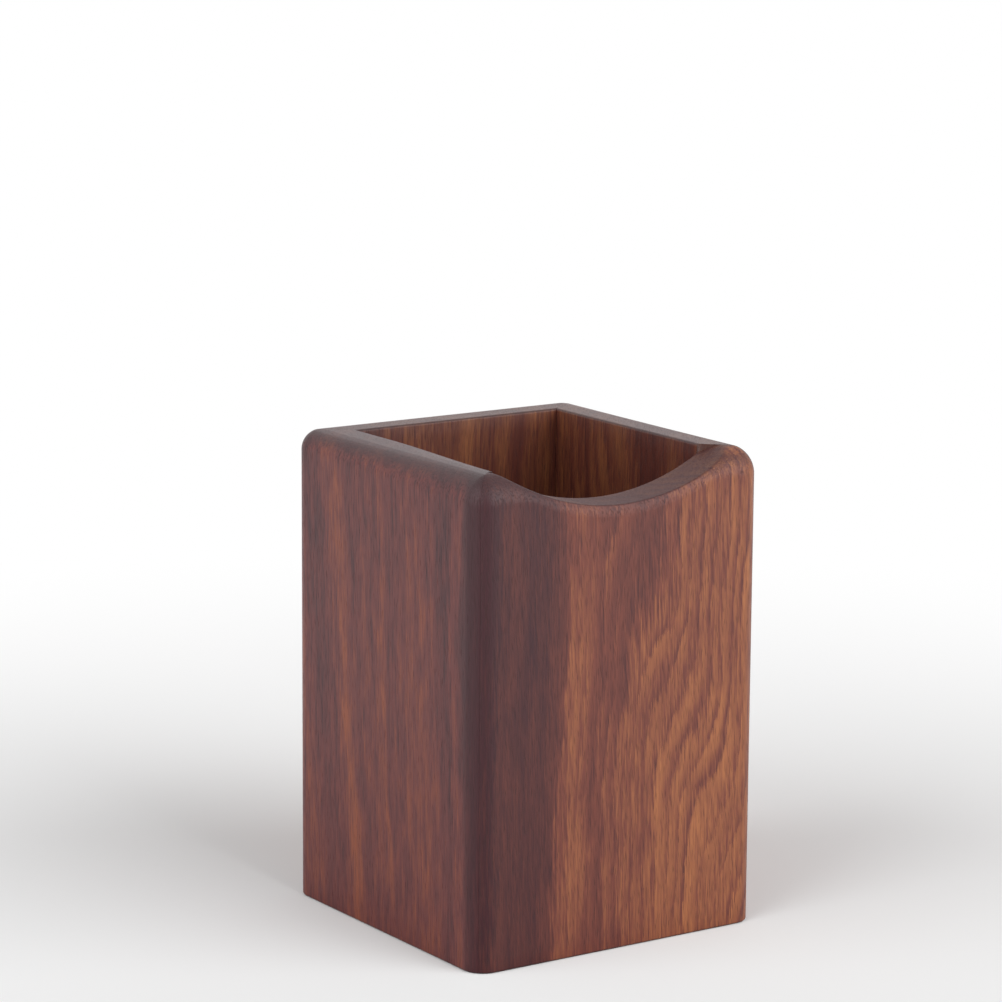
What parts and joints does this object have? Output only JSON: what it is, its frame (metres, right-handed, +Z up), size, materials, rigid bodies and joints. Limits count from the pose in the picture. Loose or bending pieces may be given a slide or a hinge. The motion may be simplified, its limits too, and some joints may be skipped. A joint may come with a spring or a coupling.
{
  "type": "desk organizer",
  "caption": "Square open-topped wooden pen cup with mitred walls, a rounded outer rim and a shallow arc scooped out of the front wall; stands on a desk and holds pens and pencils.",
  "frame": {"origin": "middle of the underside, on the surface that the cup stands on", "axes": "+Z up, the scooped front wall faces -Y, +X to the right as seen from the front"},
  "size_m": [0.075, 0.075, 0.108],
  "materials": {
    "walnut": "satin lacquer"
  },
  "bodies": {
    "root": {"front_board": "walnut", "back_board": "walnut", "left_board": "walnut", "right_board": "walnut", "base_panel": "walnut"}
  },
  "joints": []
}
